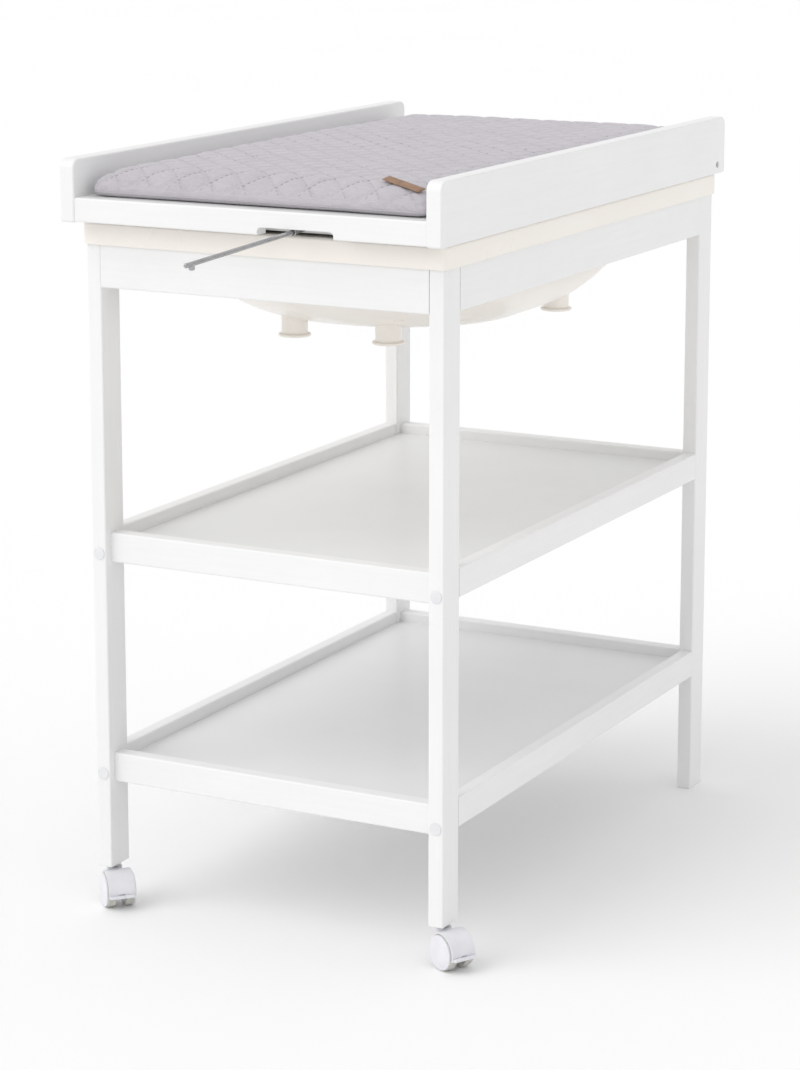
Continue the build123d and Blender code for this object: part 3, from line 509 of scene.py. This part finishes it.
def quilt(mesh, low, high):
    """Presses the stitch grooves into the top and the edge, above the plain band."""
    mesh.update()
    normals = [v.normal.copy() for v in mesh.vertices]
    for vertex, normal in zip(mesh.vertices, normals):
        if normal.z < -0.2:    # the underside stays plain
            continue
        x, y, z = vertex.co
        fade = min(1.0, max(0.0, (z - low.z - QUILT_EDGE) / QUILT_FADE))
        # Over the edge, the pattern goes on down the side by as much as the side drops.
        drop = max(0.0, high.z - QUILT_TURN - z)
        x += math.copysign(drop, normal.x) * abs(normal.x)
        y += math.copysign(drop, normal.y) * abs(normal.y)
        groove, crown = quilt_shares(x - CENTRE_LINE_X, y - low.y)
        puff = 0.8 + PUFF * noise.noise(Vector((x, y, 0)) * PUFFS)
        wave = noise.noise(Vector((x, y, 3.0)) * WAVES)
        relief = -QUILT_DEPTH * GROOVE_SHARE * groove + QUILT_DEPTH * CROWN_SHARE * crown * puff
        crumple = CRUMPLE * noise.noise(Vector((x, y, z)) * CRUMPLES)
        vertex.co += normal * (fade * relief + crumple + WAVE * wave * max(0.0, normal.z))
    for vertex in mesh.vertices:
        vertex.co.z = max(vertex.co.z, low.z)
    mesh.update()


def stitch(bm, tree, start, end):
    """One stitch from start to end, laid on the surface below them."""
    ends = []
    for point in (start, end):
        hit, normal, _, _ = tree.ray_cast(point + UP * RAY_START, -UP)
        if hit is None:
            return
        ends.append((hit, normal))
    (a, na), (b, nb) = ends
    line = b - a
    if line.length < THREAD_RADIUS or line.length > 4 * STITCH:
        return
    normal = (na + nb).normalized()
    side = line.normalized().cross(normal).normalized() * THREAD_RADIUS
    lift = normal * THREAD_RADIUS
    rings = []
    for share, size in STITCH_PROFILE:
        middle = a + line * share + lift * (0.15 + 0.5 * math.sin(math.pi * share))
        corners = (side * size, lift * size, -side * size, -lift * size)
        rings.append([bm.verts.new(middle + corner) for corner in corners])
    skin(bm, rings)
    bm.faces.new(rings[0])
    bm.faces.new(list(reversed(rings[-1])))


def quilt_stitches(tree, low, high, material):
    """Dashed stitching along both families of diagonal lines."""
    bm = bmesh.new()
    step = STITCH + STITCH_GAP
    reach = high.x - low.x + high.y - low.y
    count = int(reach / QUILT_PITCH) + 2
    for sign in (-1, 1):
        for number in range(-count, count + 1):
            for index in range(int(reach / step) + 1):
                ends = []
                for travel in (index * step, index * step + STITCH):
                    y = travel / math.sqrt(2)
                    x = number * QUILT_PITCH - sign * y
                    ends.append(Vector((x + CENTRE_LINE_X, y + low.y, high.z)))
                if all(low.x + STITCH_INSET < p.x < high.x - STITCH_INSET
                       and low.y + STITCH_INSET < p.y < high.y - STITCH_INSET for p in ends):
                    stitch(bm, tree, *ends)
    return new_piece("pad_quilting_stitches", mesh_from(bm, "pad_quilting_stitches"), material)


def edge_loop(tree, low, high, height, steps):
    """Points on the pad's side at one height, going round it."""
    points = []
    outline = rounded_outline(low, high, -SIDE_RAY_START, PAD_CORNER + SIDE_RAY_START, 14)
    lengths = [0.0]
    for a, b in zip(outline, outline[1:] + outline[:1]):
        lengths.append(lengths[-1] + math.dist(a, b))
    for number in range(steps):
        target = lengths[-1] * number / steps
        i = max(k for k in range(len(outline)) if lengths[k] <= target)
        a, b = outline[i], outline[(i + 1) % len(outline)]
        share = (target - lengths[i]) / max(lengths[i + 1] - lengths[i], 1e-9)
        x, y = a[0] + (b[0] - a[0]) * share, a[1] + (b[1] - a[1]) * share
        inward = Vector((min(max(x, low.x + PAD_CORNER), high.x - PAD_CORNER) - x,
                         min(max(y, low.y + PAD_CORNER), high.y - PAD_CORNER) - y, 0))
        start = Vector((x, y, low.z + height))
        hit = tree.ray_cast(start, inward.normalized())[0]
        if hit is not None:
            points.append(hit)
    return points


def piping(name, points, radius, material):
    """A round cord sewn in along a closed line."""
    bm = bmesh.new()
    rings = []
    total = len(points)
    for i, point in enumerate(points):
        tangent = (points[(i + 1) % total] - points[i - 1]).normalized()
        side = tangent.cross(UP).normalized()
        rise = side.cross(tangent)
        ring = []
        for corner in range(SEAM_SIDES):
            angle = math.tau * corner / SEAM_SIDES
            ring.append(bm.verts.new(point + (side * math.cos(angle) + rise * math.sin(angle)) * radius))
        rings.append(ring)
    skin(bm, rings + rings[:1])
    return new_piece(name, mesh_from(bm, name), material)


def leather_tag(tree, low, high, leather):
    """A plain leather tag on the pad, near its front right corner."""
    length, width, thickness = TAG_SIZE
    columns, rows = TAG_CELLS
    centre = Vector((high.x - TAG_PLACE[0], low.y + TAG_PLACE[1], high.z))
    turn = Matrix.Rotation(TAG_TURN, 3, "Z")
    shares = [[(i / columns - 0.5, j / rows - 0.5) for j in range(rows + 1)] for i in range(columns + 1)]
    under = [[tree.ray_cast(centre + turn @ Vector((s * length, t * width, 0)) + UP * RAY_START, -UP)[0]
              for s, t in line] for line in shares]
    # Stiff leather: a flat strip that leans with the pad and rests on its highest points.
    left, right = under[0][rows // 2], under[columns][rows // 2]
    front, back = under[columns // 2][0], under[columns // 2][rows]
    middle = (left + right + front + back) / 4
    plane = [[middle + (right - left) * s + (back - front) * t for s, t in line] for line in shares]
    rise = max(under[i][j].z - plane[i][j].z for i in range(columns + 1) for j in range(rows + 1))
    bm = bmesh.new()
    grids = []
    for level in (0, 1):
        grid = []
        for i in range(columns + 1):
            line = []
            for j in range(rows + 1):
                s, t = shares[i][j]
                point = plane[i][j] + UP * min(rise, TAG_LIFT)
                point.z = max(point.z, under[i][j].z)
                edge = min(0.5 - abs(s), (0.5 - abs(t)) * width / length) * length
                rounding = TAG_ROUNDING * (1 - min(1.0, edge / TAG_EDGE))
                height = TAG_GAP + level * (thickness - 2 * rounding) + rounding
                line.append(bm.verts.new(point + UP * height))
            grid.append(line)
        grids.append(grid)
    for level, grid in enumerate(grids):
        for i in range(columns):
            for j in range(rows):
                corners = (grid[i][j], grid[i + 1][j], grid[i + 1][j + 1], grid[i][j + 1])
                bm.faces.new(corners if level else tuple(reversed(corners)))
    rim = [(i, 0) for i in range(columns)] + [(columns, j) for j in range(rows)]
    rim += [(i, rows) for i in range(columns, 0, -1)] + [(0, j) for j in range(rows, 0, -1)]
    for (i, j), (k, m) in zip(rim, rim[1:] + rim[:1]):
        bm.faces.new((grids[0][i][j], grids[0][k][m], grids[1][k][m], grids[1][i][j]))
    return new_piece("pad_leather_tag", mesh_from(bm, "pad_leather_tag"), leather)


def make_pad(looks):
    """The quilted pad with its stitches, seam and tag, in place of the CAD's plain one."""
    low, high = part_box("pad")
    # The thread is darker partly as painted shade of the needle dents along the stitches.
    dent_shaded_thread = thread_with_dent_shade()
    pad = new_piece("quilted_pad", pad_blank(low, high), looks["pad_fabric"])
    remesh = pad.modifiers.new("Remesh", "REMESH")
    remesh.mode = "VOXEL"
    remesh.voxel_size = PAD_VOXEL
    baked(pad)
    pad.data.materials.clear()
    pad.data.materials.append(looks["pad_fabric"])
    blow_up(pad, low)
    smooth = pad.modifiers.new("Smooth", "SMOOTH")
    smooth.factor = 0.5
    smooth.iterations = 4
    finer = pad.modifiers.new("Subdivision", "SUBSURF")
    finer.levels = 1
    mesh = baked(pad)
    quilt(mesh, low, high)
    tree = BVHTree.FromPolygons([v.co for v in mesh.vertices], [list(p.vertices) for p in mesh.polygons])
    stitches = quilt_stitches(tree, low, high, dent_shaded_thread)
    seam = piping("pad_seam", edge_loop(tree, low, high, SEAM_HEIGHT, SEAM_POINTS), SEAM_RADIUS, dent_shaded_thread)
    tag = leather_tag(tree, low, high, tag_leather())
    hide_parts("pad")
    for piece in (pad, stitches, seam, tag):
        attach(piece, "changing_top")


# ---- Stage ---------------------------------------------------------------------------------
def make_floor():
    bm = bmesh.new()
    bmesh.ops.create_grid(bm, x_segments=8, y_segments=8, size=FLOOR_REACH)
    floor = new_piece("studio_floor", mesh_from(bm, "studio_floor"), studio_floor())


def outward(azimuth, elevation):
    """A direction out from the table: degrees round from the front to the right, and degrees up."""
    a, e = math.radians(azimuth), math.radians(elevation)
    return Vector((math.sin(a) * math.cos(e), -math.cos(a) * math.cos(e), math.sin(e)))


def make_camera():
    camera = bpy.data.objects.new("camera", bpy.data.cameras.new("camera"))
    camera.location = CENTRE + AIM_OFFSET + outward(AZIMUTH, ELEVATION) * CAMERA_DISTANCE
    camera.rotation_euler = (math.pi / 2 - math.radians(ELEVATION), 0, math.radians(AZIMUTH))
    camera.data.lens = LENS
    camera.data.shift_y = SHIFT_Y
    camera.data.clip_start = 0.1
    SCENE.collection.objects.link(camera)
    SCENE.camera = camera


def make_light():
    """An even white world, and one soft, far light."""
    world = bpy.data.worlds.new("studio")
    SCENE.world = world
    world.use_nodes = True
    background = world.node_tree.nodes["Background"]
    background.inputs["Color"].default_value = (1.0, 1.0, 1.0, 1.0)
    background.inputs["Strength"].default_value = WORLD_STRENGTH
    light = bpy.data.lights.new("key_light", "SUN")
    light.energy = SUN_STRENGTH
    light.angle = math.radians(SUN_SPREAD)
    lamp = bpy.data.objects.new("key_light", light)
    back = outward(SUN_AZIMUTH, SUN_ELEVATION)
    lamp.location = CENTRE + back * SUN_DISTANCE
    lamp.rotation_euler = (-back).to_track_quat("-Z", "Y").to_euler()
    SCENE.collection.objects.link(lamp)
    SCENE.view_settings.view_transform = "Standard"


make_camera()
make_light()
make_floor()
make_pad(finish_cad_nodes())
